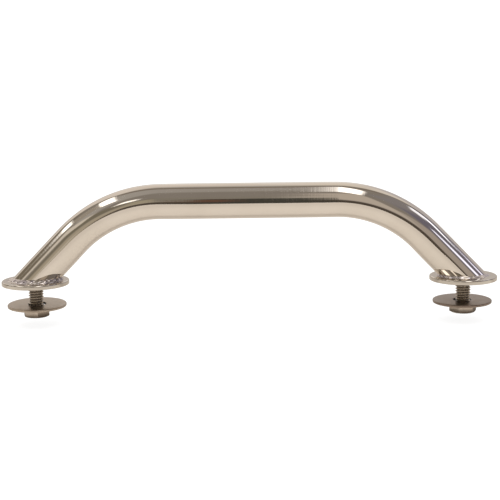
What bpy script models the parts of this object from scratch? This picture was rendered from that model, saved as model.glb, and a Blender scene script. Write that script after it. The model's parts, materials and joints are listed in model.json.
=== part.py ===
"""Boat grab rail: a bent stainless tube on two welded flanges, bolted through a deck from below.

Metres, +Z up. +X runs along the rail. The origin lies on the deck plane, which is the underside
of both flanges, midway between the two bolts.
"""
import math

import bmesh
import bpy
from mathutils import Matrix

OBJECT_NAME = "boat_grab_rail"
SIDES = {"left": -1, "right": 1}

# Clearance between pieces that touch on the real rail
FIT_GAP = 0.0003

# Rail tube: 3/4 inch, bent twice, mitred at both feet
TUBE_RADIUS = 0.009525
TUBE_WALL = 0.00125
BOLT_SPACING = 0.2312
RAIL_HEIGHT = 0.0443
LEG_ANGLE = math.radians(46)
BEND_RADIUS = 0.067
BEND_STEPS = 12
TUBE_SIDES = 28

# Flanges and the weld beads round the tube's feet
FLANGE_RADIUS = 0.01815
FLANGE_THICKNESS = 0.0024
FLANGE_TOP_ROUNDING = 0.0013
FLANGE_BOTTOM_ROUNDING = 0.0004
WELD_LEG = 0.0021
WELD_LIP = 0.0003
WELD_HEIGHT = 0.0019

# Threaded bushes inside the tube's feet
BUSH_RADIUS = 0.0052
BUSH_TOP = 0.0078
BUSH_BORE_RADIUS = 0.0043

# Bolts: 5/16 inch, 18 threads to the inch, 3/4 inch long under the head
BOLT_RADIUS = 0.0079375 / 2
THREAD_PITCH = 0.0254 / 18
THREAD_DEPTH = 0.00078
THREAD_FLANK_ANGLE = math.radians(30)
BOLT_LENGTH = 0.01905
BOLT_TIP_CHAMFER = 0.0008
HEX_ACROSS_FLATS = 0.0127
HEX_HEIGHT = 0.005
HEX_CHAMFER_ANGLE = math.radians(30)
HEX_TURN = {"left": math.radians(8.5), "right": math.radians(-23.7)}
THREAD_SEGMENTS = 16

# Backing washers: 5/16 inch fender washers lying on the bolt heads, a little off centre
WASHER_RADIUS = 0.0254 * 1.25 / 2
WASHER_HOLE_RADIUS = 0.009525 / 2
WASHER_THICKNESS = 0.0013
WASHER_INWARD_SHIFT = 0.0004
WASHER_TOP = {"left": -0.0109, "right": -0.01115}

ROUND_STEPS = 48
SMALL_ROUND_STEPS = 32

# Cutters reach this far past what they cut
FOOT_TRIM_DEPTH = 0.06
WELD_CORE_LENGTH = 0.04

# Worked-out heights
TUBE_FOOT_HEIGHT = FLANGE_THICKNESS + FIT_GAP
LEG_LEAN = 1 / math.tan(LEG_ANGLE)


def clear_scene():
    for scene_object in list(bpy.data.objects):
        bpy.data.objects.remove(scene_object, do_unlink=True)


def make_collection(name):
    collection = bpy.data.collections.new(name)
    bpy.context.scene.collection.children.link(collection)
    return collection


def make_material(name, color, roughness):
    material = bpy.data.materials.new(name)
    material.use_nodes = True
    shader = material.node_tree.nodes["Principled BSDF"]
    shader.inputs["Base Color"].default_value = (*color, 1.0)
    shader.inputs["Metallic"].default_value = 1.0
    shader.inputs["Roughness"].default_value = roughness
    return material


def link_object(name, mesh, collection, material=None):
    new_object = bpy.data.objects.new(name, mesh)
    collection.objects.link(new_object)
    if material:
        mesh.materials.append(material)
        mesh.shade_smooth()
        mesh.set_sharp_from_angle(angle=math.radians(35))
    return new_object


def hide_cutter(cutter):
    cutter.hide_render = True
    cutter.display_type = "WIRE"
    return cutter


def add_boolean(target, operand, operation):
    modifier = target.modifiers.new(operation.title(), "BOOLEAN")
    modifier.operation = operation
    modifier.object = operand
    modifier.solver = "EXACT"


def evaluated_mesh(source):
    """A welded copy of an object's mesh, with its modifiers or curve settings applied."""
    bpy.context.view_layer.update()
    dependencies = bpy.context.evaluated_depsgraph_get()
    mesh = bpy.data.meshes.new_from_object(source.evaluated_get(dependencies))
    working = bmesh.new()
    working.from_mesh(mesh)
    bmesh.ops.remove_doubles(working, verts=working.verts, dist=0.000001)
    working.to_mesh(mesh)
    working.free()
    return mesh


def make_prism(name, sides, radius, tip_radius, height, collection, material=None):
    """A cylinder, cone frustum or prism that stands on its origin along +Z."""
    mesh = bpy.data.meshes.new(name)
    working = bmesh.new()
    bmesh.ops.create_cone(
        working,
        cap_ends=True,
        segments=sides,
        radius1=radius,
        radius2=tip_radius,
        depth=height,
        matrix=Matrix.Translation((0, 0, height / 2)),
    )
    working.to_mesh(mesh)
    working.free()
    return link_object(name, mesh, collection, material)


def make_turned(name, profile, steps, collection, material=None):
    """A shape turned about its own Z axis from (radius, height) points, top to bottom.

    A profile that starts and ends on the axis gives a solid. Any other profile is closed by a
    line up its inner side, and gives a ring.
    """
    points = [(radius, 0, height) for radius, height in profile]
    edges = [(index, index + 1) for index in range(len(points) - 1)]
    if profile[0][0] > 0:
        edges.append((len(points) - 1, 0))
    mesh = bpy.data.meshes.new(name)
    mesh.from_pydata(points, edges, [])
    turned = link_object(name, mesh, collection, material)
    screw = turned.modifiers.new("Screw", "SCREW")
    screw.steps = steps
    screw.render_steps = steps
    screw.use_merge_vertices = True
    screw.merge_threshold = 0.00001
    return turned


def rounded_corner(center, radius, start_degrees, end_degrees, steps):
    """Points on an arc of a turned profile, from start to end."""
    points = []
    for step in range(steps + 1):
        angle = math.radians(start_degrees + (end_degrees - start_degrees) * step / steps)
        points.append((center[0] + radius * math.cos(angle), center[1] + radius * math.sin(angle)))
    return points


def foot_axis_x(side, height):
    """Where the leg's centreline stands at a height; it meets the flange's top at its centre."""
    return side * (BOLT_SPACING / 2 - (height - FLANGE_THICKNESS) * LEG_LEAN)


def rail_route(extension):
    """The tube's centreline, from below the left flange to below the right one."""
    bend_tangent = BEND_RADIUS * math.tan(LEG_ANGLE / 2)
    bend_end_x = foot_axis_x(1, RAIL_HEIGHT) - bend_tangent
    bend_center_z = RAIL_HEIGHT - BEND_RADIUS
    half = []
    for step in range(BEND_STEPS + 1):
        angle = LEG_ANGLE * step / BEND_STEPS
        x = bend_end_x + BEND_RADIUS * math.sin(angle)
        half.append((x, 0, bend_center_z + BEND_RADIUS * math.cos(angle)))
    half.append((foot_axis_x(1, -extension), 0, -extension))
    mirrored = [(-x, y, z) for x, y, z in reversed(half)]
    return mirrored + half


def make_rail_rod(name, radius, extension, collection, material=None):
    """A solid bar of the given radius along the rail's route."""
    curve = bpy.data.curves.new(name + "_route", "CURVE")
    curve.dimensions = "3D"
    curve.bevel_depth = radius
    curve.bevel_resolution = (TUBE_SIDES - 4) // 2
    curve.use_fill_caps = True
    route = rail_route(extension)
    spline = curve.splines.new("POLY")
    spline.points.add(len(route) - 1)
    for point, place in zip(spline.points, route):
        point.co = (*place, 1)
    curve_object = bpy.data.objects.new(name + "_route", curve)
    collection.objects.link(curve_object)
    rod = link_object(name, evaluated_mesh(curve_object), collection, material)
    rod.matrix_world = curve_object.matrix_world
    bpy.data.objects.remove(curve_object, do_unlink=True)
    return rod


def make_rail_tube(parts, cutters, material):
    """The bent tube: a bar with a bore along it, mitred level just above both flanges."""
    tube = make_rail_rod("rail_tube", TUBE_RADIUS, FOOT_TRIM_DEPTH / 3, parts, material)
    bore = make_rail_rod("tube_bore", TUBE_RADIUS - TUBE_WALL, FOOT_TRIM_DEPTH / 2, cutters)
    mesh = bpy.data.meshes.new("foot_trim")
    working = bmesh.new()
    bmesh.ops.create_cube(working, size=1)
    working.to_mesh(mesh)
    working.free()
    mesh.transform(Matrix.Diagonal((BOLT_SPACING * 2, TUBE_RADIUS * 4, FOOT_TRIM_DEPTH, 1)))
    trim = link_object("foot_trim", mesh, cutters)
    trim.location.z = TUBE_FOOT_HEIGHT - FOOT_TRIM_DEPTH / 2
    for cutter in (bore, trim):
        add_boolean(tube, hide_cutter(cutter), "DIFFERENCE")


def make_flange(name, side, parts, material):
    """A round disc with a full rounding on top, bored for the threaded bush."""
    hole = BUSH_RADIUS + FIT_GAP
    top = FLANGE_TOP_ROUNDING
    bottom = FLANGE_BOTTOM_ROUNDING
    profile = [(hole, FLANGE_THICKNESS)]
    profile += rounded_corner((FLANGE_RADIUS - top, FLANGE_THICKNESS - top), top, 90, 0, 6)
    profile += rounded_corner((FLANGE_RADIUS - bottom, bottom), bottom, 0, -90, 3)
    profile += [(hole, 0)]
    flange = make_turned(name, profile, ROUND_STEPS, parts, material)
    flange.location.x = side * BOLT_SPACING / 2
    return flange


def make_weld_bead(name, side, parts, cutters, material):
    """A fillet of weld on the flange round the leaning foot, with a leg on each of the two."""
    inside = TUBE_RADIUS + FIT_GAP
    bead = make_prism(
        name, ROUND_STEPS, inside + WELD_LEG, inside + WELD_LIP, WELD_HEIGHT, parts, material
    )
    lean = Matrix.Identity(4)
    lean[0][0] = 1 / math.sin(LEG_ANGLE)
    lean[0][2] = -side * LEG_LEAN
    bead.data.transform(lean)
    bead.location = (foot_axis_x(side, TUBE_FOOT_HEIGHT), 0, TUBE_FOOT_HEIGHT)
    core = make_prism(name + "_core", ROUND_STEPS, inside, inside, WELD_CORE_LENGTH, cutters)
    core.data.transform(Matrix.Translation((0, 0, -WELD_CORE_LENGTH / 2)))
    core.rotation_euler.y = -side * (math.pi / 2 - LEG_ANGLE)
    core.location = bead.location
    add_boolean(bead, hide_cutter(core), "DIFFERENCE")


def make_bush(name, side, parts, material):
    """A plain ring: the internal thread is left out, and the bore clears the bolt."""
    profile = [
        (BUSH_BORE_RADIUS, BUSH_TOP),
        (BUSH_RADIUS, BUSH_TOP),
        (BUSH_RADIUS, 0),
        (BUSH_BORE_RADIUS, 0),
    ]
    bush = make_turned(name, profile, SMALL_ROUND_STEPS, parts, material)
    bush.location.x = side * BOLT_SPACING / 2
    return bush


def make_washer(name, side, top, parts, material):
    """A flat fender washer, shifted towards the middle of the rail by part of its free play."""
    profile = [
        (WASHER_HOLE_RADIUS, 0),
        (WASHER_RADIUS, 0),
        (WASHER_RADIUS, -WASHER_THICKNESS),
        (WASHER_HOLE_RADIUS, -WASHER_THICKNESS),
    ]
    washer = make_turned(name, profile, ROUND_STEPS, parts, material)
    washer.location = (side * (BOLT_SPACING / 2 - WASHER_INWARD_SHIFT), 0, top)
    return washer


def make_threaded_rod(name, turns, collection):
    """A rod with a right-hand thread: one pitch of its outline, turned and climbing."""
    root = BOLT_RADIUS - THREAD_DEPTH
    crest_half = THREAD_PITCH / 16
    root_half = crest_half + THREAD_DEPTH * math.tan(THREAD_FLANK_ANGLE)
    profile = [
        (root, root_half),
        (BOLT_RADIUS, crest_half),
        (BOLT_RADIUS, -crest_half),
        (root, -root_half),
        (root, root_half - THREAD_PITCH),
    ]
    mesh = bpy.data.meshes.new(name + "_outline")
    points = [(radius, 0, height) for radius, height in profile]
    mesh.from_pydata(points, [(index, index + 1) for index in range(len(points) - 1)], [])
    outline = link_object(name + "_outline", mesh, collection)
    screw = outline.modifiers.new("Screw", "SCREW")
    screw.steps = THREAD_SEGMENTS
    screw.render_steps = THREAD_SEGMENTS
    screw.screw_offset = THREAD_PITCH
    screw.iterations = turns
    rod_mesh = evaluated_mesh(outline)
    bpy.data.objects.remove(outline, do_unlink=True)
    working = bmesh.new()
    working.from_mesh(rod_mesh)
    open_edges = [edge for edge in working.edges if edge.is_boundary]
    bmesh.ops.holes_fill(working, edges=open_edges, sides=0)
    bmesh.ops.recalc_face_normals(working, faces=working.faces)
    working.to_mesh(rod_mesh)
    working.free()
    rod_mesh.transform(Matrix.Translation((0, 0, -turns * THREAD_PITCH / 2)))
    return link_object(name, rod_mesh, collection)


def make_shank(name, collection):
    """The bolt's shank: a threaded rod trimmed to length, with a chamfered tip."""
    turns = 2 * math.ceil(BOLT_LENGTH / THREAD_PITCH) + 2
    rod = make_threaded_rod(name, turns, collection)
    trim_radius = BOLT_RADIUS + FIT_GAP / 3
    trim_profile = [
        (0, BOLT_LENGTH),
        (trim_radius - BOLT_TIP_CHAMFER, BOLT_LENGTH),
        (trim_radius, BOLT_LENGTH - BOLT_TIP_CHAMFER),
        (trim_radius, -HEX_HEIGHT / 2),
        (0, -HEX_HEIGHT / 2),
    ]
    trim = make_turned(name + "_trim", trim_profile, ROUND_STEPS, collection)
    add_boolean(rod, hide_cutter(trim), "INTERSECT")
    return rod, trim


def make_bolt(name, side_name, side, parts, cutters, material):
    """A hex head bolt whose origin is the middle of its head's bearing face."""
    corner_radius = HEX_ACROSS_FLATS / 2 / math.cos(math.pi / 6)
    bolt = make_prism(name, 6, corner_radius, corner_radius, HEX_HEIGHT, parts, material)
    head_turn = Matrix.Rotation(HEX_TURN[side_name], 4, "Z")
    bolt.data.transform(Matrix.Translation((0, 0, -HEX_HEIGHT)) @ head_turn)
    face_radius = HEX_ACROSS_FLATS / 2 * 0.95
    outer_radius = corner_radius + FIT_GAP
    chamfer_height = (outer_radius - face_radius) * math.tan(HEX_CHAMFER_ANGLE)
    chamfer_profile = [
        (0, HEX_HEIGHT),
        (outer_radius, HEX_HEIGHT),
        (outer_radius, chamfer_height - HEX_HEIGHT),
        (face_radius, -HEX_HEIGHT),
        (0, -HEX_HEIGHT),
    ]
    chamfer = make_turned(name + "_chamfer", chamfer_profile, ROUND_STEPS, cutters)
    shank, trim = make_shank(name + "_shank", cutters)
    bearing_height = WASHER_TOP[side_name] - WASHER_THICKNESS - FIT_GAP
    for piece in (bolt, chamfer, shank, trim):
        piece.location = (side * BOLT_SPACING / 2, 0, bearing_height)
    add_boolean(bolt, hide_cutter(chamfer), "INTERSECT")
    add_boolean(bolt, hide_cutter(shank), "UNION")


def main():
    clear_scene()
    parts = make_collection(OBJECT_NAME)
    cutters = make_collection("cutters")
    polished = make_material("polished_stainless", (0.78, 0.73, 0.67), 0.08)
    weld = make_material("weld_metal", (0.70, 0.65, 0.60), 0.22)
    satin = make_material("satin_stainless", (0.52, 0.47, 0.42), 0.42)
    machined = make_material("machined_stainless", (0.56, 0.52, 0.47), 0.32)

    make_rail_tube(parts, cutters, polished)
    for side_name, side in SIDES.items():
        make_flange("flange_" + side_name, side, parts, polished)
        make_weld_bead("weld_bead_" + side_name, side, parts, cutters, weld)
        make_bush("threaded_bush_" + side_name, side, parts, machined)
        make_washer("backing_washer_" + side_name, side, WASHER_TOP[side_name], parts, satin)
        make_bolt("mounting_bolt_" + side_name, side_name, side, parts, cutters, machined)


main()
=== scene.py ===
"""Looks of the boat grab rail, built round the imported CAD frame.

Metres, +Z up, +X along the rail.
"""
import json
import math

import bmesh
import bpy
from mathutils import Matrix, Vector, noise


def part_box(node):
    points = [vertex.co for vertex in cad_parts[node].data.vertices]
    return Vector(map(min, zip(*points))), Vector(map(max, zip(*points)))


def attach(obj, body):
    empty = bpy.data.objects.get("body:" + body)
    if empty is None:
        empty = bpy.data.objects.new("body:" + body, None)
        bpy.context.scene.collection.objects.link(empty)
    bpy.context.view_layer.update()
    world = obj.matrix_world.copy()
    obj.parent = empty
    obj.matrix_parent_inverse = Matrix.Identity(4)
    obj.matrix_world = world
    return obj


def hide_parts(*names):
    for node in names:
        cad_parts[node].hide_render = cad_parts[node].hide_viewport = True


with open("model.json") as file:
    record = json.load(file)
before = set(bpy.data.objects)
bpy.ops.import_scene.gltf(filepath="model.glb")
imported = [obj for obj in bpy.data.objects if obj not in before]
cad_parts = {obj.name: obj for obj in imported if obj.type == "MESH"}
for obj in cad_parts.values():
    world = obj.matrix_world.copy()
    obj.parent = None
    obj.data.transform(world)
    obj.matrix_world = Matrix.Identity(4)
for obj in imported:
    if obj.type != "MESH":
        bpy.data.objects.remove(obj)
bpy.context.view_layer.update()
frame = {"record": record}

SIDES = {"left": -1, "right": 1}

# Rail tube; its radius, height and feet come from the frame
LEG_ANGLE = math.radians(46)
BEND_RADIUS = 0.067
TUBE_WALL = 0.00125
TUBE_SIDES = 144
BEND_STEPS = 72
STRAIGHT_STEPS = 40
LEG_STEPS = 30
BEND_FLATTENING = 0.018
BEND_BULGE = 0.006
FLATTENING_FADE = 0.012

# Flanges
FLANGE_TOP_ROUNDING = 0.0007
FLANGE_BOTTOM_ROUNDING = 0.0004
FLANGE_HOLE_GAP = 0.00005
FLANGE_HOLE_CHAMFER = 0.0003
FLANGE_RIM_BAND = 0.002
FLANGE_FACE_RINGS = 6
FLANGE_STEPS = 192

# Welds: a rippled fillet round each foot, with ripples of full height where its leg is full
WELD_LEG = {"left": 0.0023, "right": 0.0013}
WELD_FULL_LEG = {"left": 0.0023, "right": 0.0026}
WELD_STEPS = 640
WELD_ROWS = 14
WELD_RIPPLE_PITCH = {"left": 0.0036, "right": 0.0046}
WELD_RIPPLE_HEIGHT = {"left": 0.00058, "right": 0.0006}
WELD_RIPPLE_SWEEP = 0.55
WELD_RIPPLE_SHARPNESS = 0.6
WELD_RIPPLE_MIDDLE = 0.6
WELD_RIPPLE_UNEVENNESS = 0.12
WELD_UNEVENNESS_SCALE = 500
WELD_LUMP_SCALE = {"left": 480, "right": 260}
WELD_LUMP_HEIGHT = 0.0002
WELD_CROWN = 0.00010
WELD_WANDER = 0.22
WELD_WANDER_SCALE = 260
WELD_LIP_SHARE = 0.92
WELD_TOE_SINK = 0.00005
WELD_ROOT_SINK = 0.0004
WELD_SEED = {"left": 3.7, "right": 11.2}

# Bolts: 5/16 inch, 18 threads to the inch
THREAD_PITCH = 0.0254 / 18
THREAD_DEPTH = 0.00085
THREAD_CREST_SHARE = 0.14
THREAD_CORNER_CUT = 0.12
THREAD_STEPS = 48
THREAD_FLANK_ANGLE = math.radians(30)
BOLT_RADIUS = 0.0041
BOLT_TIP_CHAMFER = 0.0008
SPARE_TURNS = 3
TRIM_CLEARANCE = 0.0001
HEX_ACROSS_FLATS = 0.0130
HEX_CORNER_RADIUS = HEX_ACROSS_FLATS / 2 / math.cos(math.pi / 6)
HEX_HEIGHT = 0.005
HEX_FACE_SHARE = 0.95
HEX_CHAMFER_REACH = 0.0003
HEX_CHAMFER_ANGLE = math.radians(30)
HEX_EDGE_ROUNDING = 0.00018
HEX_TURN = {"left": math.radians(14.3), "right": math.radians(-23.7)}

# Washers, lying a little crooked on the bolt heads
WASHER_HOLE_RADIUS = 0.009525 / 2
WASHER_ROLLOVER = 0.00035
WASHER_BURR = 0.00012
WASHER_FACE_RINGS = 5
WASHER_STEPS = 160
WASHER_TILT = {"left": math.radians(1.7), "right": math.radians(0.8)}

# Bushes, with the start of an internal thread
BUSH_BORE_RADIUS = 0.0043
BUSH_GROOVE_DEPTH = 0.0004
BUSH_LEAD_IN = 0.0006
BUSH_TOP_EDGE = 0.0003
BUSH_BOTTOM_EDGE = 0.0002
BUSH_ROWS_PER_TURN = 8
BUSH_STEPS = 64

# The camera
CAMERA_TARGET = Vector((0.00073, 0.0, 0.01737))
CAMERA_AZIMUTH = math.radians(0.449)
CAMERA_ELEVATION = math.radians(9.573)
CAMERA_ROLL = math.radians(-0.771)
CAMERA_DISTANCE = 0.71325
CAMERA_SENSOR = 36.0
CAMERA_LENS = 95.33

# The floor, and the sheet of paper that only the polished metal sees, with its uneven front edge
# and its tones from front to back, painted light just before the rail and painted shadow under and
# behind it: (where the tone begins, where it is full, the tone)
FLOOR_REACH = 6.0
FLOOR_CLEARANCE = 0.0001
FLOOR_GLOW = 0.82
FLOOR_TONES = (0.28, 0.278, 0.275, 1), (0.31, 0.308, 0.305, 1)
PAPER_LIFT = 0.0002
PAPER_FRONT_EDGE = [
    (-0.10, -0.41), (-0.045, -0.285), (0.10, -0.28), (0.165, -0.30), (0.22, -0.46),
]
PAPER_FRONT_TONE = (0.654, 0.595, 0.536, 1)
PAPER_PAINTED_LIGHT_AND_SHADOW = [
    (-0.16, -0.02, (0.783, 0.720, 0.650, 1)),
    (-0.006, 0.018, (0.616, 0.553, 0.490, 1)),
    (0.03, 0.14, (0.546, 0.497, 0.438, 1)),
]

# The lights on the floor: a white dome, and soft lamps as (across, along, height, size, radiance)
DOME_RADIANCE = 1.15
SOFT_LAMPS = [
    (0.5, -0.5, 1.6, 0.9, 1.2),
    (-1.0, -0.3, 1.6, 0.8, 1.2),
]


# ---------------------------------------------------------------- meshes

def new_piece(name, vertices, faces, smooth_angle=35):
    """A mesh object with outward normals and smooth shading below the given angle."""
    mesh = bpy.data.meshes.new(name)
    mesh.from_pydata(vertices, [], faces)
    working = bmesh.new()
    working.from_mesh(mesh)
    bmesh.ops.recalc_face_normals(working, faces=working.faces)
    working.to_mesh(mesh)
    working.free()
    mesh.shade_smooth()
    mesh.set_sharp_from_angle(angle=math.radians(smooth_angle))
    piece = bpy.data.objects.new(name, mesh)
    bpy.context.scene.collection.objects.link(piece)
    return piece


def arc_points(center, radius, start_degrees, end_degrees, steps):
    """Points along an arc, both ends included."""
    points = []
    for step in range(steps + 1):
        angle = math.radians(start_degrees + (end_degrees - start_degrees) * step / steps)
        points.append((center[0] + radius * math.cos(angle), center[1] + radius * math.sin(angle)))
    return points


def ring_grid(rings, closed_rings):
    """Faces between successive rings of equal length; each ring closes on itself."""
    count = len(rings[0])
    vertices = [point for ring in rings for point in ring]
    faces = []
    spans = len(rings) if closed_rings else len(rings) - 1
    for row in range(spans):
        following = (row + 1) % len(rings)
        for column in range(count):
            beside = (column + 1) % count
            faces.append((row * count + column, row * count + beside,
                          following * count + beside, following * count + column))
    return vertices, faces


def turned_ring(name, profile, steps, center, smooth_angle=35):
    """A ring turned about a vertical axis from a closed profile of (radius, height) points."""
    rings = []
    for radius, height in profile:
        ring = []
        for step in range(steps):
            angle = 2 * math.pi * step / steps
            ring.append((center[0] + radius * math.cos(angle),
                         center[1] + radius * math.sin(angle), height))
        rings.append(ring)
    return new_piece(name, *ring_grid(rings, True), smooth_angle)


def node_center(node):
    low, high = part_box(node)
    return (low + high) / 2


def smooth_share(value, low, high):
    """0 below low, 1 above high, and an eased rise between them."""
    share = min(1, max(0, (value - low) / (high - low)))
    return share * share * (3 - 2 * share)


# ---------------------------------------------------------------- rail tube

def rail_sizes():
    """Radius, axis height, foot height and the feet's distance from the middle, from the frame."""
    low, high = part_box("rail_tube")
    flange_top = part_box("flange_right")[1].z
    radius = (high.y - low.y) / 2
    return radius, high.z - radius, flange_top, node_center("flange_right").x


def rail_stations():
    """(x, z, slope, flattening, distance) along the centreline, left foot to right foot."""
    radius, axis_height, flange_top, foot_x = rail_sizes()
    lean = 1 / math.tan(LEG_ANGLE)
    tangent = BEND_RADIUS * math.tan(LEG_ANGLE / 2)
    bend_x = foot_x - (axis_height - flange_top) * lean - tangent
    bend_z = axis_height - BEND_RADIUS
    bend_length = BEND_RADIUS * LEG_ANGLE
    end_x = bend_x + BEND_RADIUS * math.sin(LEG_ANGLE)
    end_z = bend_z + BEND_RADIUS * math.cos(LEG_ANGLE)
    reach = radius * lean
    leg_length = (end_z - flange_top) / math.sin(LEG_ANGLE) - reach
    half = []
    for step in range(STRAIGHT_STEPS // 2):
        half.append((bend_x * step / (STRAIGHT_STEPS / 2), axis_height, 0))
    for step in range(BEND_STEPS + 1):
        angle = LEG_ANGLE * step / BEND_STEPS
        half.append((bend_x + BEND_RADIUS * math.sin(angle),
                     bend_z + BEND_RADIUS * math.cos(angle), angle))
    for step in range(1, LEG_STEPS + 1):
        along = leg_length * step / LEG_STEPS
        half.append((end_x + along * math.cos(LEG_ANGLE), end_z - along * math.sin(LEG_ANGLE),
                     LEG_ANGLE))
    stations = []
    travelled = 0
    for index, (x, z, slope) in enumerate(half):
        if index:
            travelled += math.hypot(x - half[index - 1][0], z - half[index - 1][1])
        into = smooth_share(travelled, bend_x - FLATTENING_FADE, bend_x + FLATTENING_FADE)
        out = smooth_share(travelled, bend_x + bend_length - FLATTENING_FADE,
                           bend_x + bend_length + FLATTENING_FADE)
        stations.append((x, z, slope, into - out, travelled))
    mirrored = [(-x, z, -slope, flat, -far) for x, z, slope, flat, far in reversed(stations[1:])]
    return mirrored + stations


def tube_ring(station, radius):
    """One ring of the tube, thinner in the plane of the bend by the station's flattening."""
    x, z, slope, flat = station[:4]
    tall = radius * (1 - BEND_FLATTENING * flat)
    wide = radius * (1 + BEND_BULGE * flat)
    ring = []
    for side in range(TUBE_SIDES):
        angle = 2 * math.pi * side / TUBE_SIDES
        lift = -tall * math.cos(angle)
        ring.append(Vector((x + lift * math.sin(slope), wide * math.sin(angle),
                            z + lift * math.cos(slope))))
    return ring


def mitred_ring(ring, side, height):
    """The ring carried down the leg's own direction to a level foot."""
    direction = Vector((side * math.cos(LEG_ANGLE), 0, -math.sin(LEG_ANGLE)))
    return [point + direction * ((point.z - height) / math.sin(LEG_ANGLE)) for point in ring]


def make_rail():
    """The hollow tube, cut level at both feet and unwrapped for the polishing lines."""
    radius, _, foot_height, _ = rail_sizes()
    stations = rail_stations()
    rings = []
    lengths = []
    for wall in (radius, radius - TUBE_WALL):
        course = [mitred_ring(tube_ring(stations[0], wall), -1, foot_height)]
        course += [tube_ring(station, wall) for station in stations]
        course.append(mitred_ring(tube_ring(stations[-1], wall), 1, foot_height))
        marks = [stations[0][4] - radius] + [s[4] for s in stations] + [stations[-1][4] + radius]
        if wall < radius:
            course.reverse()
            marks.reverse()
        rings += course
        lengths += marks
    vertices, faces = ring_grid(rings, True)
    rail = new_piece("polished_rail", vertices, faces, 50)
    unwrap = rail.data.uv_layers.new(name="along_tube")
    for polygon in rail.data.polygons:
        columns = [rail.data.loops[i].vertex_index % TUBE_SIDES for i in polygon.loop_indices]
        wraps = max(columns) - min(columns) > TUBE_SIDES / 2
        for loop_index, column in zip(polygon.loop_indices, columns):
            turn = TUBE_SIDES if wraps and column == 0 else column
            row = rail.data.loops[loop_index].vertex_index // TUBE_SIDES
            unwrap.data[loop_index].uv = (turn / TUBE_SIDES * 2 * math.pi * radius, lengths[row])
    return rail


# ---------------------------------------------------------------- feet

def make_flange(side_name):
    """A round plate with rounded edges, bored for the bush."""
    low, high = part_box("flange_" + side_name)
    radius = (high.x - low.x) / 2
    hole = (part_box("threaded_bush_" + side_name)[1].x
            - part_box("threaded_bush_" + side_name)[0].x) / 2
    top = FLANGE_TOP_ROUNDING
    bottom = FLANGE_BOTTOM_ROUNDING
    inner = hole + FLANGE_HOLE_GAP
    profile = [(inner, high.z)]
    for step in range(1, FLANGE_FACE_RINGS):
        profile.append((inner + (radius - top - inner) * step / FLANGE_FACE_RINGS, high.z))
    profile += arc_points((radius - top, high.z - top), top, 90, 0, 14)
    profile += arc_points((radius - bottom, low.z + bottom), bottom, 0, -90, 6)
    profile += [(radius - FLANGE_RIM_BAND, low.z), (inner + FLANGE_HOLE_CHAMFER, low.z),
                (inner, low.z + FLANGE_HOLE_CHAMFER)]
    center = node_center("flange_" + side_name)
    return turned_ring("flange_plate_" + side_name, profile, FLANGE_STEPS, center)


def make_weld(side_name, side):
    """A fillet with a stack of overlapping ripples, swept round the foot's outline."""
    radius, _, flange_top, _ = rail_sizes()
    center = node_center("flange_" + side_name)
    long_radius = radius / math.sin(LEG_ANGLE)
    up_tube = Vector((-side * math.cos(LEG_ANGLE), 0, math.sin(LEG_ANGLE)))
    pitch = WELD_RIPPLE_PITCH[side_name]
    height = WELD_RIPPLE_HEIGHT[side_name]
    lump_scale = WELD_LUMP_SCALE[side_name]
    seed = WELD_SEED[side_name]
    full_leg = WELD_FULL_LEG[side_name]
    outline = []
    for step in range(WELD_STEPS):
        turn = 2 * math.pi * step / WELD_STEPS
        outline.append(Vector((center.x + long_radius * math.cos(turn), radius * math.sin(turn),
                               flange_top)))
    perimeter = sum((outline[i] - outline[i - 1]).length for i in range(WELD_STEPS))
    ripples = round(perimeter / pitch)
    rings = [[] for _ in range(WELD_ROWS + 3)]
    travelled = 0
    for step, point in enumerate(outline):
        before = outline[step - 1]
        after = outline[(step + 1) % WELD_STEPS]
        if step:
            travelled += (point - before).length
        outward = (after - before).cross(Vector((0, 0, 1))).normalized()
        tube_tangent_normal = (after - before).cross(up_tube).normalized()
        wander = noise.noise(Vector((point.x * WELD_WANDER_SCALE, point.y * WELD_WANDER_SCALE,
                                     seed)))
        leg = WELD_LEG[side_name] * (1 + WELD_WANDER * wander)
        toe = point + outward * leg
        lip = point + up_tube * leg * WELD_LIP_SHARE
        face_normal = (outward + tube_tangent_normal).normalized()
        rings[0].append(toe + Vector((0, 0, -WELD_TOE_SINK)))
        for row in range(WELD_ROWS + 1):
            share = row / WELD_ROWS
            bow = math.sin(math.pi * share)
            phase = ripples * travelled / perimeter + WELD_RIPPLE_SWEEP * (share - 0.5) ** 2 * 4
            phase += WELD_RIPPLE_UNEVENNESS * noise.noise(
                Vector((travelled * WELD_UNEVENNESS_SCALE, seed, 0)))
            crest = abs(math.sin(math.pi * phase)) ** WELD_RIPPLE_SHARPNESS
            lump = noise.noise(Vector((travelled * lump_scale, share * 1.5, seed + 5)))
            rise = (WELD_CROWN + height * (crest - WELD_RIPPLE_MIDDLE)
                    + WELD_LUMP_HEIGHT * lump)
            swell = bow * leg / full_leg * rise
            rings[row + 1].append(toe.lerp(lip, share) + face_normal * swell)
        root = point.lerp(lip, 0.4) - tube_tangent_normal * WELD_ROOT_SINK
        rings[WELD_ROWS + 2].append(root)
    vertices, faces = ring_grid(rings, True)
    return new_piece("weld_fillet_" + side_name, vertices, faces, 60)


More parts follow.
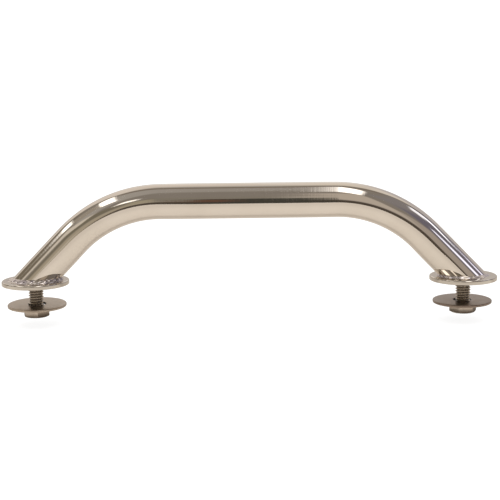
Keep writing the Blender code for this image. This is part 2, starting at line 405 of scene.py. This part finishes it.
def make_bush(side_name):
    """The threaded bush: a ring with a lead-in and helical grooves in its bore."""
    low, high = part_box("threaded_bush_" + side_name)
    center = node_center("threaded_bush_" + side_name)
    radius = (high.x - low.x) / 2
    rows = int((high.z - low.z - 2 * BUSH_LEAD_IN) / THREAD_PITCH * BUSH_ROWS_PER_TURN)
    rings = []
    outer = [(BUSH_BORE_RADIUS + BUSH_LEAD_IN, high.z), (radius - BUSH_TOP_EDGE, high.z),
             (radius, high.z - BUSH_TOP_EDGE), (radius, low.z + BUSH_BOTTOM_EDGE),
             (radius - BUSH_BOTTOM_EDGE, low.z), (BUSH_BORE_RADIUS + BUSH_LEAD_IN * 0.8, low.z)]
    for ring_radius, height in outer:
        rings.append([(ring_radius, height)] * BUSH_STEPS)
    for row in range(rows + 1):
        height = low.z + BUSH_LEAD_IN + (high.z - low.z - 2 * BUSH_LEAD_IN) * row / rows
        ring = []
        for step in range(BUSH_STEPS):
            phase = (height - low.z) / THREAD_PITCH - step / BUSH_STEPS
            groove = abs(2 * (phase - math.floor(phase)) - 1)
            ring.append((BUSH_BORE_RADIUS + BUSH_GROOVE_DEPTH * groove, height))
        rings.append(ring)
    placed = []
    for ring in rings:
        placed.append([(center.x + r * math.cos(2 * math.pi * i / BUSH_STEPS),
                        center.y + r * math.sin(2 * math.pi * i / BUSH_STEPS), z)
                       for i, (r, z) in enumerate(ring)])
    return new_piece("foot_bush_" + side_name, *ring_grid(placed, True), 30)


# ---------------------------------------------------------------- washers and bolts

def make_washer(side_name):
    """A punched washer, rounded over above and burred below, tilted on the bolt head."""
    low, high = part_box("backing_washer_" + side_name)
    center = node_center("backing_washer_" + side_name)
    radius = (high.x - low.x) / 2
    roll = WASHER_ROLLOVER
    burr = WASHER_BURR
    hole = WASHER_HOLE_RADIUS
    face_from = hole + roll * 0.5
    face_to = radius - roll * 2.2
    profile = [(face_to, high.z)]
    profile += [(radius - roll, high.z - roll * 0.12), (radius - roll * 0.3, high.z - roll * 0.45),
                (radius, high.z - roll)]
    profile += [(radius - burr * 0.3, low.z + burr * 2), (radius - burr, low.z)]
    profile += [(radius - burr * 3, low.z + burr * 0.25), (hole + burr * 2, low.z + burr * 0.25)]
    profile += [(hole, low.z + burr * 1.5), (hole, high.z - roll * 0.4)]
    profile += [(hole + roll * 0.15, high.z - roll * 0.1), (face_from, high.z)]
    for ring in range(1, WASHER_FACE_RINGS):
        profile.append((face_from + (face_to - face_from) * ring / WASHER_FACE_RINGS, high.z))
    washer = turned_ring("punched_washer_" + side_name, profile, WASHER_STEPS, center, 40)
    tilt = WASHER_TILT[side_name]
    lift = Matrix.Translation((0, 0, HEX_CORNER_RADIUS * math.sin(tilt)))
    middle = Matrix.Translation(center)
    washer.data.transform(lift @ middle @ Matrix.Rotation(tilt, 4, "X") @ middle.inverted())
    return washer


def thread_outline():
    """One pitch of the thread's outline, from root to root, with its corners cut back."""
    root = BOLT_RADIUS - THREAD_DEPTH
    crest_half = THREAD_PITCH * THREAD_CREST_SHARE / 2
    flank = THREAD_DEPTH * math.tan(THREAD_FLANK_ANGLE)
    root_half = crest_half + flank
    cut = flank * THREAD_CORNER_CUT
    cut_depth = THREAD_DEPTH * THREAD_CORNER_CUT
    return [
        (root, THREAD_PITCH - root_half - cut * 1.6),
        (root, root_half + cut * 1.6),
        (root + cut_depth, root_half - cut * 0.9),
        (BOLT_RADIUS - cut_depth, crest_half + cut * 0.9),
        (BOLT_RADIUS, crest_half - cut * 0.8),
        (BOLT_RADIUS, -crest_half + cut * 0.8),
        (BOLT_RADIUS - cut_depth, -crest_half - cut * 0.9),
        (root + cut_depth, -root_half + cut * 0.9),
        (root, -root_half - cut * 1.6),
    ]


def applied_copy(source, name):
    """A new object holding the source as it is with its modifiers; the source is removed."""
    bpy.context.view_layer.update()
    dependencies = bpy.context.evaluated_depsgraph_get()
    mesh = bpy.data.meshes.new_from_object(source.evaluated_get(dependencies))
    mesh.transform(source.matrix_world)
    bpy.data.objects.remove(source, do_unlink=True)
    copy = bpy.data.objects.new(name, mesh)
    bpy.context.scene.collection.objects.link(copy)
    return copy


def combine(target, other, operation):
    """Applies a boolean and removes the other object."""
    modifier = target.modifiers.new(operation.title(), "BOOLEAN")
    modifier.operation = operation
    modifier.object = other
    modifier.solver = "EXACT"
    name = target.name
    target.name = name + "_uncut"
    result = applied_copy(target, name)
    bpy.data.objects.remove(other, do_unlink=True)
    return result


def turned_solid(name, profile, steps):
    """A solid turned about Z from (radius, height) points that start and end on the axis."""
    rings = []
    for radius, height in profile[1:-1]:
        rings.append([(radius * math.cos(2 * math.pi * i / steps),
                       radius * math.sin(2 * math.pi * i / steps), height) for i in range(steps)])
    vertices, faces = ring_grid(rings, False)
    faces.append(tuple(range(steps)))
    last = (len(rings) - 1) * steps
    faces.append(tuple(last + i for i in range(steps)))
    return new_piece(name, vertices, faces)


def make_threaded_rod(length):
    """A right-hand threaded rod from below the head to past the tip, cut square and chamfered."""
    outline = thread_outline()
    edges = [(i, i + 1) for i in range(len(outline) - 1)]
    mesh = bpy.data.meshes.new("thread_outline")
    mesh.from_pydata([(r, 0, z) for r, z in outline], edges, [])
    rod = bpy.data.objects.new("thread_outline", mesh)
    bpy.context.scene.collection.objects.link(rod)
    screw = rod.modifiers.new("Screw", "SCREW")
    screw.steps = THREAD_STEPS
    screw.render_steps = THREAD_STEPS
    screw.screw_offset = THREAD_PITCH
    screw.iterations = math.ceil(length / THREAD_PITCH) + 2 * SPARE_TURNS
    rod = applied_copy(rod, "threaded_rod")
    working = bmesh.new()
    working.from_mesh(rod.data)
    bmesh.ops.remove_doubles(working, verts=working.verts, dist=0.0000005)
    rims = [edge for edge in working.edges if edge.is_boundary]
    bmesh.ops.holes_fill(working, edges=rims, sides=0)
    bmesh.ops.recalc_face_normals(working, faces=working.faces)
    working.to_mesh(rod.data)
    working.free()
    rod.data.transform(Matrix.Translation((0, 0, -SPARE_TURNS * THREAD_PITCH)))
    reach = BOLT_RADIUS + TRIM_CLEARANCE
    tip = [(0, length), (reach - BOLT_TIP_CHAMFER, length), (reach, length - BOLT_TIP_CHAMFER),
           (reach, -HEX_HEIGHT / 3), (0, -HEX_HEIGHT / 3)]
    return combine(rod, turned_solid("rod_trim", tip, 96), "INTERSECT")


def make_bolt(side_name):
    """A hex head bolt with its head down: chamfered hexagon and a fully threaded shank."""
    node = "mounting_bolt_" + side_name
    low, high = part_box(node)
    bearing = low.z + HEX_HEIGHT
    working = bmesh.new()
    bmesh.ops.create_cone(working, cap_ends=True, segments=6, radius1=HEX_CORNER_RADIUS,
                          radius2=HEX_CORNER_RADIUS, depth=HEX_HEIGHT,
                          matrix=Matrix.Translation((0, 0, -HEX_HEIGHT / 2)))
    upright = [edge for edge in working.edges
               if abs(edge.verts[0].co.z - edge.verts[1].co.z) > HEX_HEIGHT / 2]
    bmesh.ops.bevel(working, geom=upright, offset=HEX_EDGE_ROUNDING, segments=3, affect="EDGES",
                    profile=0.5)
    mesh = bpy.data.meshes.new("hex_head")
    working.to_mesh(mesh)
    working.free()
    mesh.transform(Matrix.Rotation(HEX_TURN[side_name], 4, "Z"))
    head = bpy.data.objects.new("hex_head", mesh)
    bpy.context.scene.collection.objects.link(head)
    face = HEX_ACROSS_FLATS / 2 * HEX_FACE_SHARE
    outer = HEX_CORNER_RADIUS + HEX_CHAMFER_REACH
    rise = (outer - face) * math.tan(HEX_CHAMFER_ANGLE)
    chamfer = [(0, TRIM_CLEARANCE), (outer, TRIM_CLEARANCE), (outer, rise - HEX_HEIGHT),
               (face, -HEX_HEIGHT), (0, -HEX_HEIGHT)]
    head = combine(head, turned_solid("hex_chamfer", chamfer, 128), "INTERSECT")
    bolt = combine(head, make_threaded_rod(high.z - bearing), "UNION")
    bolt.name = "hex_bolt_" + side_name
    bolt.data.name = bolt.name
    bolt.data.shade_smooth()
    bolt.data.set_sharp_from_angle(angle=math.radians(28))
    bolt.location = (node_center("flange_" + side_name).x, 0, bearing)
    return bolt


# ---------------------------------------------------------------- materials

# The metals' colours, some of them painted shade, and where on a bolt some of them begin and are
# full, in metres
BUFFED_TONES = (0.70, 0.652, 0.585, 1), (0.73, 0.682, 0.618, 1)
# Painted shade for the upright faces of the polished steel
UPRIGHT_PAINTED_SHADE = (0.45, 0.42, 0.375, 1)
WELD_TONE = (0.74, 0.69, 0.65, 1)
WELD_TINT = {"left": (0.37, 0.335, 0.35, 1), "right": (0.56, 0.52, 0.54, 1)}
WELD_SURFACE_LUMPS = {"left": 0.00012, "right": 0.00004}
# The right washer's darker tone is painted shade; both washers are of the same stock
WASHER_TONE_WITH_PAINTED_SHADE = {"left": (0.47, 0.402, 0.332), "right": (0.288, 0.23, 0.192)}
WASHER_STAIN = 0.86
# Near black painted shade in the washer's hole
WASHER_HOLE_PAINTED_SHADE = (0.06, 0.052, 0.045, 1)
# Thread roots painted dark as shade, then the crests' tone
THREAD_ROOT_SHADE_AND_CREST_TONES = (0.25, 0.222, 0.19, 1), (0.47, 0.425, 0.37, 1)
HEAD_TONE = (0.60, 0.53, 0.455, 1)
# Painted shade on the +X side of each bolt head, darker on the left head, with where it begins and
# is full across the bolt
HEAD_PAINTED_SHADE = {"left": (0.36, 0.30, 0.25, 1), "right": (0.56, 0.49, 0.42, 1)}
HEAD_PAINTED_SHADE_SPAN = 0.0016, 0.0020
# Near black painted shade on the top of each head and its bearing face, under the washer, with its
# span in height
BEARING_PAINTED_SHADE = (0.07, 0.062, 0.055, 1)
BEARING_SHADE_SPAN = -0.0007, -0.0002
MOTTLE_TONE = (0.36, 0.325, 0.28, 1)


def new_material(name):
    """A material, its node tree and its shader."""
    material = bpy.data.materials.new(name)
    material.use_nodes = True
    return material, material.node_tree, material.node_tree.nodes["Principled BSDF"]


def add_node(tree, kind, inputs=None, **settings):
    """A node with its settings; inputs maps a socket name or number to a value or a socket."""
    node = tree.nodes.new(kind)
    for key, value in settings.items():
        setattr(node, key, value)
    for key, value in (inputs or {}).items():
        socket = node.inputs[key]
        if isinstance(value, bpy.types.NodeSocket):
            tree.links.new(value, socket)
        else:
            socket.default_value = value
    return node


def coordinates(tree, output="Object", scale=(1, 1, 1)):
    place = add_node(tree, "ShaderNodeTexCoord").outputs[output]
    return add_node(tree, "ShaderNodeMapping", {"Vector": place, "Scale": scale}).outputs["Vector"]


def noise_value(tree, vector, scale, detail=3.0, roughness=0.5, distortion=0.0):
    return add_node(tree, "ShaderNodeTexNoise", {
        "Vector": vector, "Scale": scale, "Detail": detail, "Roughness": roughness,
        "Distortion": distortion}).outputs["Fac"]


def remap(tree, value, low, high, new_low, new_high):
    """The value carried from one range to another, eased at both ends."""
    return add_node(tree, "ShaderNodeMapRange", {
        "Value": value, "From Min": low, "From Max": high, "To Min": new_low, "To Max": new_high,
    }, interpolation_type="SMOOTHSTEP").outputs["Result"]


def math_node(tree, operation, first, second, third=0.0):
    return add_node(tree, "ShaderNodeMath", {0: first, 1: second, 2: third},
                    operation=operation).outputs[0]


def mix_color(tree, factor, first, second):
    """The first colour where the factor is 0 and the second where it is 1."""
    node = add_node(tree, "ShaderNodeMix", data_type="RGBA")
    for index, value in ((0, factor), (6, first), (7, second)):
        socket = node.inputs[index]
        if isinstance(value, bpy.types.NodeSocket):
            tree.links.new(value, socket)
        else:
            socket.default_value = value
    return node.outputs[2]


def bump(tree, height, distance, strength=1.0, normal=None):
    inputs = {"Height": height, "Distance": distance, "Strength": strength}
    if normal is not None:
        inputs["Normal"] = normal
    return add_node(tree, "ShaderNodeBump", inputs).outputs["Normal"]


def dress_metal(tree, shader, color, rough, surface):
    """Gives a metal shader its colour, roughness and surface normal."""
    shader.inputs["Metallic"].default_value = 1.0
    tree.links.new(color, shader.inputs["Base Color"])
    tree.links.new(rough, shader.inputs["Roughness"])
    tree.links.new(surface, shader.inputs["Normal"])


def axis_distance(tree, place):
    """Distance from the vertical axis through the origin."""
    flat = add_node(tree, "ShaderNodeVectorMath", {0: place, 1: (1, 1, 0)}, operation="MULTIPLY")
    away = add_node(tree, "ShaderNodeVectorMath", {0: flat.outputs[0]}, operation="LENGTH")
    return away.outputs["Value"]


def polished_steel(name, brushed_output, brushed_scale, side_shade):
    """Buffed stainless steel: smudges, polishing lines, waviness, and painted shade on upright
    sides.
    """
    material, tree, shader = new_material(name)
    around = coordinates(tree)
    smudge = noise_value(tree, around, 48, 4, 0.55)
    lines = noise_value(tree, coordinates(tree, brushed_output, brushed_scale), 1, 2, 0.6)
    color = mix_color(tree, remap(tree, smudge, 0.3, 0.7, 0, 1), *BUFFED_TONES)
    normal = add_node(tree, "ShaderNodeNewGeometry").outputs["Normal"]
    upward = add_node(tree, "ShaderNodeSeparateXYZ", {0: normal}).outputs["Z"]
    level = math_node(tree, "ABSOLUTE", upward, 0)
    # Painted shade: faces that stand upright are darkened as much as side_shade says
    color = mix_color(tree, remap(tree, level, 0.3, 0.8, side_shade, 0), color, UPRIGHT_PAINTED_SHADE)
    rough = math_node(tree, "ADD", remap(tree, smudge, 0.35, 0.75, 0.035, 0.075),
                      remap(tree, lines, 0.45, 0.8, 0.0, 0.05))
    wave = noise_value(tree, around, 70, 1, 0.4)
    surface = bump(tree, wave, 0.000012)
    surface = bump(tree, lines, 0.000005, 1.0, surface)
    dress_metal(tree, shader, color, rough, surface)
    return material


def weld_steel(side_name):
    """Fused filler metal: bright crests, gray-violet heat tint in patches, a little rougher."""
    material, tree, shader = new_material("weld_" + side_name)
    around = coordinates(tree)
    tint = noise_value(tree, around, 260, 3, 0.6)
    grain = noise_value(tree, around, 2600, 3, 0.6)
    color = mix_color(tree, remap(tree, tint, 0.42, 0.62, 0, 1), WELD_TONE, WELD_TINT[side_name])
    rough = remap(tree, grain, 0.35, 0.7, 0.10, 0.26)
    surface = bump(tree, tint, WELD_SURFACE_LUMPS[side_name])
    surface = bump(tree, grain, 0.00001, 1.0, surface)
    dress_metal(tree, shader, color, rough, surface)
    return material


def satin_steel(side_name):
    """Tumbled washer stock: rolled grain, random scratches, soft stains, painted shade in the
    hole, and painted shade darkening the right washer.
    """
    material, tree, shader = new_material("satin_washer_" + side_name)
    around = coordinates(tree)
    stain = noise_value(tree, around, 160, 4, 0.6)
    grain = noise_value(tree, coordinates(tree, "Object", (420, 5200, 900)), 1, 3, 0.6)
    scratch = noise_value(tree, coordinates(tree, "Object", (3600, 260, 800)), 1, 4, 0.7, 0.4)
    # The right washer's darker tone is painted shade; both washers are of the same stock
    tone = WASHER_TONE_WITH_PAINTED_SHADE[side_name]
    stained = tuple(WASHER_STAIN * channel for channel in tone)
    color = mix_color(tree, remap(tree, stain, 0.35, 0.65, 0, 1), (*stained, 1), (*tone, 1))
    center = node_center("backing_washer_" + side_name)
    from_center = add_node(tree, "ShaderNodeVectorMath", {0: around, 1: center},
                           operation="SUBTRACT")
    away = axis_distance(tree, from_center.outputs[0])
    # Painted shade in the washer's hole and just round it
    hole = remap(tree, away, WASHER_HOLE_RADIUS + 0.0001, WASHER_HOLE_RADIUS + 0.0004, 1, 0)
    color = mix_color(tree, hole, color, WASHER_HOLE_PAINTED_SHADE)
    rough = math_node(tree, "ADD", remap(tree, stain, 0.3, 0.7, 0.26, 0.36),
                      remap(tree, grain, 0.4, 0.75, 0.0, 0.08))
    surface = bump(tree, grain, 0.000008)
    surface = bump(tree, scratch, 0.000006, 0.8, surface)
    dress_metal(tree, shader, color, rough, surface)
    return material


def machined_steel(side_name):
    """Bolt stock: thread roots painted dark as shade, lighter crests, tool marks, and painted
    shade on one side of the head and on its top under the washer.
    """
    material, tree, shader = new_material("machined_" + side_name)
    place = add_node(tree, "ShaderNodeTexCoord").outputs["Object"]
    away = axis_distance(tree, place)
    crest = remap(tree, away, BOLT_RADIUS - THREAD_DEPTH, BOLT_RADIUS * 0.985, 0, 1)
    around = coordinates(tree)
    mottle = noise_value(tree, around, 420, 4, 0.6)
    marks = noise_value(tree, coordinates(tree, "Object", (500, 500, 9000)), 1, 3, 0.6)
    head = remap(tree, away, BOLT_RADIUS * 1.05, BOLT_RADIUS * 1.25, 0, 1)
    # Painted shade: the thread roots are darker than the crests
    color = mix_color(tree, crest, *THREAD_ROOT_SHADE_AND_CREST_TONES)
    across, _, height = add_node(tree, "ShaderNodeSeparateXYZ", {0: place}).outputs
    # Painted shade on one side of the head, by its place across the bolt
    sides = mix_color(tree, remap(tree, across, *HEAD_PAINTED_SHADE_SPAN, 0, 1), HEAD_TONE,
                      HEAD_PAINTED_SHADE[side_name])
    # Near black painted shade on the top of the head, under the washer
    sides = mix_color(tree, remap(tree, height, *BEARING_SHADE_SPAN, 0, 1), sides, BEARING_PAINTED_SHADE)
    color = mix_color(tree, head, color, sides)
    color = mix_color(tree, remap(tree, mottle, 0.45, 0.75, 0, 0.30), color, MOTTLE_TONE)
    rough = math_node(tree, "ADD", remap(tree, mottle, 0.3, 0.7, 0.10, 0.18),
                      remap(tree, crest, 0, 1, 0.12, 0.0))
    surface = bump(tree, marks, 0.000006)
    surface = bump(tree, mottle, 0.00001, 0.6, surface)
    dress_metal(tree, shader, color, rough, surface)
    return material


# ---------------------------------------------------------------- stage

def make_camera():
    """A long lens a little above the rail, looking at it squarely from the front."""
    data = bpy.data.cameras.new("camera")
    data.sensor_width = CAMERA_SENSOR
    data.lens = CAMERA_LENS
    data.clip_start = 0.01
    data.clip_end = 50
    camera = bpy.data.objects.new("camera", data)
    bpy.context.scene.collection.objects.link(camera)
    back = Vector((math.sin(CAMERA_AZIMUTH) * math.cos(CAMERA_ELEVATION),
                   -math.cos(CAMERA_AZIMUTH) * math.cos(CAMERA_ELEVATION),
                   math.sin(CAMERA_ELEVATION)))
    aim = (-back).to_track_quat("-Z", "Y").to_matrix().to_4x4()
    place = Matrix.Translation(CAMERA_TARGET + back * CAMERA_DISTANCE)
    camera.matrix_world = place @ aim @ Matrix.Rotation(CAMERA_ROLL, 4, "Z")
    bpy.context.scene.camera = camera


def make_sheet(name, outline, height):
    """A level sheet with the given outline."""
    return new_piece(name, [(x, y, height) for x, y in outline], [tuple(range(len(outline)))])


def unscrewed_drop():
    """How far a bolt comes down at the end of its travel."""
    return max(-joint["range_m"][0] for joint in frame["record"]["behaviour"]["joints"]
               if joint["name"].endswith("bolt_travel"))


def make_floor(height):
    """A pale floor that glows softly, so that no hard shadow falls on it."""
    corners = [(-FLOOR_REACH, -FLOOR_REACH), (FLOOR_REACH, -FLOOR_REACH),
               (FLOOR_REACH, FLOOR_REACH), (-FLOOR_REACH, FLOOR_REACH)]
    floor = make_sheet("floor", corners, height)
    material, tree, shader = new_material("pale_floor")
    cloud = noise_value(tree, coordinates(tree), 3, 3, 0.5)
    tree.links.new(mix_color(tree, cloud, *FLOOR_TONES), shader.inputs["Base Color"])
    shader.inputs["Emission Color"].default_value = (1, 1, 1, 1)
    shader.inputs["Emission Strength"].default_value = FLOOR_GLOW
    shader.inputs["Roughness"].default_value = 0.9
    shader.inputs["Specular IOR Level"].default_value = 0.0
    floor.data.materials.append(material)
    floor.visible_glossy = False
    return floor


def make_paper(height):
    """The floor as the polished metal sees it: warm paper with painted light just before the rail
    and painted shadow under and behind it.
    """
    left_end, right_end = PAPER_FRONT_EDGE[0], PAPER_FRONT_EDGE[-1]
    outline = [(-FLOOR_REACH, left_end[1]), *PAPER_FRONT_EDGE, (FLOOR_REACH, right_end[1]),
               (FLOOR_REACH, FLOOR_REACH), (-FLOOR_REACH, FLOOR_REACH)]
    paper = make_sheet("paper_reflection", outline, height)
    material, tree, shader = new_material("paper_reflection")
    place = add_node(tree, "ShaderNodeTexCoord").outputs["Object"]
    depth = add_node(tree, "ShaderNodeSeparateXYZ", {0: place}).outputs["Y"]
    color = PAPER_FRONT_TONE
    # Painted light just before the rail, then painted shadow under it and behind it
    for begins, full, tone in PAPER_PAINTED_LIGHT_AND_SHADOW:
        color = mix_color(tree, remap(tree, depth, begins, full, 0, 1), color, tone)
    tree.links.new(color, shader.inputs["Base Color"])
    shader.inputs["Roughness"].default_value = 1.0
    shader.inputs["Specular IOR Level"].default_value = 0.0
    paper.data.materials.append(material)
    paper.visible_camera = False
    paper.visible_diffuse = False
    paper.visible_shadow = False
    paper.visible_transmission = False
    return paper


def make_ground():
    """The floor goes just below the bolts' lowest reach, and the paper just above their rest."""
    bolts_rest_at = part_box("mounting_bolt_left")[0].z
    floor = make_floor(bolts_rest_at - unscrewed_drop() - FLOOR_CLEARANCE)
    paper = make_paper(bolts_rest_at + PAPER_LIFT)


def make_lamps():
    """Large soft lamps over the floor; the metal sees the room's own lights instead."""
    for index, (across, along, height, size, radiance) in enumerate(SOFT_LAMPS):
        data = bpy.data.lights.new("soft_lamp_%d" % index, "AREA")
        data.shape = "SQUARE"
        data.size = size
        data.energy = radiance * math.pi * size * size
        lamp = bpy.data.objects.new(data.name, data)
        bpy.context.scene.collection.objects.link(lamp)
        lamp.location = (across, along, height)
        aim = Vector((0, 0, 0)) - lamp.location
        lamp.rotation_euler = aim.to_track_quat("-Z", "Y").to_euler()
        lamp.visible_glossy = False
        lamp.visible_camera = False


# The room as the metal sees it, each patch over the ones before it: (kind, name, first span,
# second span, slant, radiance). A wall patch is spanned by bearing and elevation in degrees, with
# bearing 0 in front and 90 at the right; a ceiling patch by its place across and along per unit of
# height above the rail, the slant being added to along per across. Each span is (starts, full,
# full, ends). A ray's rise counts as at least LOWEST_CEILING_RISE, so that it never divides by 0.
WALL, CEILING = "wall", "ceiling"
ROOM_BASE = (0.27, 0.243, 0.205)
ROOM = [
    (WALL, "back left", (-182, -181, -131, -123), (-30, -20, 90, 91), 0, (0.84, 0.76, 0.69)),
    (WALL, "back right", (121, 131, 181, 182), (-30, -20, 90, 91), 0, (0.84, 0.77, 0.70)),
    (WALL, "back right low", (112, 122, 158, 172), (-30, -20, 30, 44), 0, (0.57, 0.53, 0.54)),
    (WALL, "backdrop right", (164, 176, 181, 182), (14, 20, 26, 40), 0, (1.0, 0.97, 0.93)),
    (WALL, "backdrop left", (-182, -181, -176, -164), (14, 20, 26, 40), 0, (1.0, 0.97, 0.93)),
    (WALL, "back skirting right", (119, 131, 181, 182), (-30, -20, 12, 18), 0, (0.56, 0.51, 0.47)),
    (WALL, "back skirting left", (-182, -181, -131, -119), (-30, -20, 12, 18), 0,
     (0.56, 0.51, 0.47)),
    (CEILING, "back lit", (0.0, 0.06, 0.2, 0.4), (0.27, 0.34, 0.65, 0.9), 0, (1.02, 0.92, 0.80)),
    (CEILING, "ceiling", (-9, -8, 8, 9), (-2, -1.5, 0.27, 0.42), 0, (0.28, 0.25, 0.222)),
    (CEILING, "glow", (-1.35, -1.15, -0.35, 0.60), (-0.52, -0.28, 0.35, 0.75), -0.8,
     (0.43, 0.40, 0.37)),
    (CEILING, "back edge", (-0.55, -0.38, 0.5, 0.6), (0.05, 0.13, 0.24, 0.31), 0,
     (0.25, 0.21, 0.175)),
    (WALL, "left wall", (-131, -119, -78, -66), (15, 22, 36, 44), 0, (0.215, 0.182, 0.137)),
    (WALL, "right wall top", (28, 45, 112, 122), (28, 38, 56, 66), 0, (0.28, 0.258, 0.262)),
    (WALL, "right wall", (34, 50, 116, 126), (18, 26, 36, 48), 0, (0.185, 0.17, 0.212)),
    (WALL, "front right", (3, 5, 46, 55), (-2, 4, 20, 26), 0, (0.45, 0.39, 0.345)),
    (WALL, "front middle lit", (0.8, 1.8, 5, 9), (14, 20, 27, 33), 0, (0.42, 0.38, 0.33)),
    (WALL, "front right lit", (1.4, 4.2, 19, 24), (4, 10, 42, 54), 0, (0.58, 0.51, 0.445)),
    (WALL, "front left", (-80, -45, -7, -3), (-14, -10, 9, 16), 0, (0.46, 0.40, 0.31)),
    (WALL, "front left lit", (-14, -11.5, -7, -5), (9, 13, 20, 25), 0, (0.43, 0.38, 0.28)),
    (WALL, "left skirting", (-181, -180, -22, -12), (-30, -25, 0, 5), 0, (0.66, 0.60, 0.52)),
    (WALL, "left shade", (-52, -43, -18, -14), (13, 17, 29, 32), 0, (0.22, 0.195, 0.145)),
    (WALL, "far floor", (-12, -8, 24, 29), (-40, -30, 1, 5), 0, (0.095, 0.078, 0.062)),
    (WALL, "onlooker", (-4, -2, 2.1, 3.6), (-40, -30, 16, 21), 0, (0.065, 0.062, 0.052)),
    (WALL, "warm trace", (-3.6, -2.6, -1.6, -0.8), (-3, 2, 12, 17), 0, (0.15, 0.08, 0.055)),
    (WALL, "left band", (-73, -65, -40, -33), (22, 25.5, 31.5, 36), 0, (0.76, 0.69, 0.60)),
    (WALL, "left glow", (-104, -94, -66, -58), (37, 41, 52, 56), 0, (0.39, 0.345, 0.29)),
    (WALL, "left trace", (-104, -98, -93, -86), (28.5, 30.5, 34, 36), 0, (0.40, 0.36, 0.30)),
    (WALL, "left window", (-24.5, -19.5, -16, -12), (26, 30, 33, 37.5), 0, (2.2, 2.1, 2.0)),
    (WALL, "right window", (58, 62.5, 72, 77), (23.8, 26.2, 28.9, 30.5), 0, (1.5, 1.52, 1.85)),
    (WALL, "right lamp foot", (94, 99, 106, 111), (25, 27, 29.2, 30.6), 0, (1.4, 1.4, 1.75)),
    (WALL, "right lamp", (93.5, 97.5, 104, 109), (30.6, 31.6, 46, 49.5), 0, (2.0, 2.05, 2.3)),
    (WALL, "right lamp top", (80, 88, 98, 106), (37, 42, 46.5, 49.5), 0, (1.3, 1.3, 1.4)),
    (CEILING, "over", (0.03, 0.12, 0.27, 0.36), (-0.60, -0.45, 0.12, 0.27), 1.0, (2.6, 2.5, 2.45)),
    (CEILING, "left lamp", (-0.73, -0.685, -0.545, -0.49), (-0.56, -0.46, 0.17, 0.32), 0,
     (2.6, 2.5, 2.4)),
    (CEILING, "far left lamp", (-1.70, -1.46, -1.30, -1.18), (-0.36, -0.08, 0.35, 0.75), 0,
     (2.3, 2.25, 2.2)),
]
LOWEST_CEILING_RISE = 0.05


def span(tree, value, limits):
    """1 inside the span, easing to 0 at its two ends."""
    starts, full_from, full_to, ends = limits
    return math_node(tree, "MULTIPLY", remap(tree, value, starts, full_from, 0, 1),
                     remap(tree, value, full_to, ends, 1, 0))


def make_world():
    """A white dome for the camera and the floor, and a warm gray room for the metal."""
    world = bpy.data.worlds.new("studio")
    bpy.context.scene.world = world
    world.use_nodes = True
    world.cycles.sampling_method = "NONE"
    tree = world.node_tree
    tree.nodes.clear()
    direction = add_node(tree, "ShaderNodeTexCoord").outputs["Generated"]
    across, depth, up = add_node(tree, "ShaderNodeSeparateXYZ", {0: direction}).outputs
    toward = math_node(tree, "MULTIPLY", depth, -1.0)
    to_degrees = math.degrees(1)
    bearing = math_node(tree, "MULTIPLY", math_node(tree, "ARCTAN2", across, toward), to_degrees)
    elevation = math_node(tree, "MULTIPLY", math_node(tree, "ARCSINE", up, 0.0), to_degrees)
    above = math_node(tree, "MAXIMUM", up, LOWEST_CEILING_RISE)
    ceiling_across = math_node(tree, "DIVIDE", across, above)
    ceiling_along = math_node(tree, "DIVIDE", depth, above)
    color = (*ROOM_BASE, 1)
    for kind, _, first, second, slant, tone in ROOM:
        if kind == WALL:
            places = bearing, elevation
        else:
            places = ceiling_across, ceiling_along
        if slant:
            places = places[0], math_node(tree, "MULTIPLY_ADD", places[0], slant, places[1])
        share = math_node(tree, "MULTIPLY", span(tree, places[0], first),
                          span(tree, places[1], second))
        color = mix_color(tree, share, color, (*tone, 1))
    dome = add_node(tree, "ShaderNodeBackground",
                    {"Color": (1, 1, 1, 1), "Strength": DOME_RADIANCE})
    room = add_node(tree, "ShaderNodeBackground", {"Color": color})
    is_glossy = add_node(tree, "ShaderNodeLightPath").outputs["Is Glossy Ray"]
    mixed = add_node(tree, "ShaderNodeMixShader",
                     {0: is_glossy, 1: dome.outputs[0], 2: room.outputs[0]})
    out = add_node(tree, "ShaderNodeOutputWorld")
    tree.links.new(mixed.outputs[0], out.inputs["Surface"])


# ---------------------------------------------------------------- assembly

def place_piece(piece, body, node, material):
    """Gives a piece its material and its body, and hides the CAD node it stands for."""
    piece.data.materials.clear()
    piece.data.materials.append(material)
    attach(piece, body)
    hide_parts(node)


def make_object():
    """Every piece of the rail, from the tube to the bolts."""
    tube_steel = polished_steel("polished_tube", "UV", (60, 1500, 1), 0)
    # The plates get painted shade on their upright sides
    plate_steel = polished_steel("polished_plate", "Object", (90, 1400, 90), 0.6)
    place_piece(make_rail(), "rail", "rail_tube", tube_steel)
    for name, side in SIDES.items():
        machined = machined_steel(name)
        place_piece(make_flange(name), "rail", "flange_" + name, plate_steel)
        place_piece(make_weld(name, side), "rail", "weld_bead_" + name,
                    weld_steel(name))
        place_piece(make_bush(name), "rail", "threaded_bush_" + name,
                    machined)
        place_piece(make_washer(name), "washer_" + name, "backing_washer_" + name,
                    satin_steel(name))
        place_piece(make_bolt(name), "bolt_" + name, "mounting_bolt_" + name,
                    machined)


bpy.context.scene.view_settings.view_transform = "Standard"
make_camera()
make_object()
make_ground()
make_lamps()
make_world()
